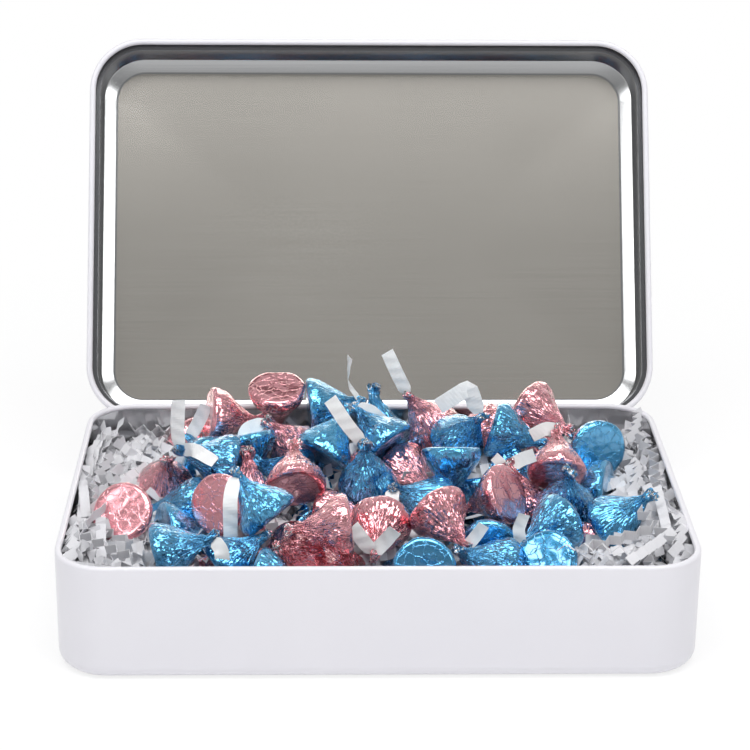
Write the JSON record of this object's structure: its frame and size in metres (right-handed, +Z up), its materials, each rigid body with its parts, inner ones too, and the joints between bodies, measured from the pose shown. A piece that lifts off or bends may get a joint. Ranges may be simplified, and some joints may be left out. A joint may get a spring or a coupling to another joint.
{
  "type": "hinged chocolate tin",
  "caption": "White hinged tinplate gift tin standing open, with a heap of blue and rose foil-wrapped chocolate drops on crinkled white paper.",
  "frame": {"origin": "centre of the tin body's flat underside", "axes": "+X along the hinge, +Y from the front wall to the hinge at the back, +Z up"},
  "size_m": [0.2314, 0.2441, 0.1741],
  "materials": {
    "tin_lacquer": "gloss white lacquer",
    "hinge_steel": "bright tinplate",
    "crinkle_paper": "matt paper",
    "blue_foil": "bright coloured foil",
    "rose_foil": "bright coloured foil"
  },
  "bodies": {
    "tin": {"blue_drop_01": "blue_foil", "blue_drop_02": "blue_foil", "blue_drop_03": "blue_foil", "blue_drop_04": "blue_foil", "blue_drop_05": "blue_foil", "blue_drop_06": "blue_foil", "blue_drop_07": "blue_foil", "blue_drop_08": "blue_foil", "blue_drop_09": "blue_foil", "blue_drop_10": "blue_foil", "blue_drop_11": "blue_foil", "blue_drop_12": "blue_foil", "blue_drop_13": "blue_foil", "blue_drop_14": "blue_foil", "blue_drop_15": "blue_foil", "blue_drop_16": "blue_foil", "blue_drop_17": "blue_foil", "blue_drop_18": "blue_foil", "blue_drop_19": "blue_foil", "blue_drop_20": "blue_foil", "blue_drop_21": "blue_foil", "blue_drop_22": "blue_foil", "blue_drop_23": "blue_foil", "blue_drop_24": "blue_foil", "blue_drop_25": "blue_foil", "blue_drop_26": "blue_foil", "blue_drop_27": "blue_foil", "crinkle_paper_bed": "crinkle_paper", "hinge_leaf_left": "hinge_steel", "hinge_leaf_right": "hinge_steel", "hinge_pin_left": "hinge_steel", "hinge_pin_right": "hinge_steel", "rose_drop_01": "rose_foil", "rose_drop_02": "rose_foil", "rose_drop_03": "rose_foil", "rose_drop_04": "rose_foil", "rose_drop_05": "rose_foil", "rose_drop_06": "rose_foil", "rose_drop_07": "rose_foil", "rose_drop_08": "rose_foil", "rose_drop_09": "rose_foil", "rose_drop_10": "rose_foil", "rose_drop_11": "rose_foil", "rose_drop_12": "rose_foil", "rose_drop_13": "rose_foil", "rose_drop_14": "rose_foil", "rose_drop_15": "rose_foil", "rose_drop_16": "rose_foil", "rose_drop_17": "rose_foil", "rose_drop_18": "rose_foil", "rose_drop_19": "rose_foil", "rose_drop_20": "rose_foil", "tin_body": "tin_lacquer"},
    "lid": {"lid": "tin_lacquer", "hinge_strap_left": "hinge_steel", "hinge_strap_right": "hinge_steel"}
  },
  "joints": [
    {"name": "lid_hinge", "type": "hinge", "parent": "tin", "child": "lid", "pos_m": [0, 0.0782, 0.0366], "axis": [-1, 0, 0], "range_deg": [-118, 0]}
  ]
}
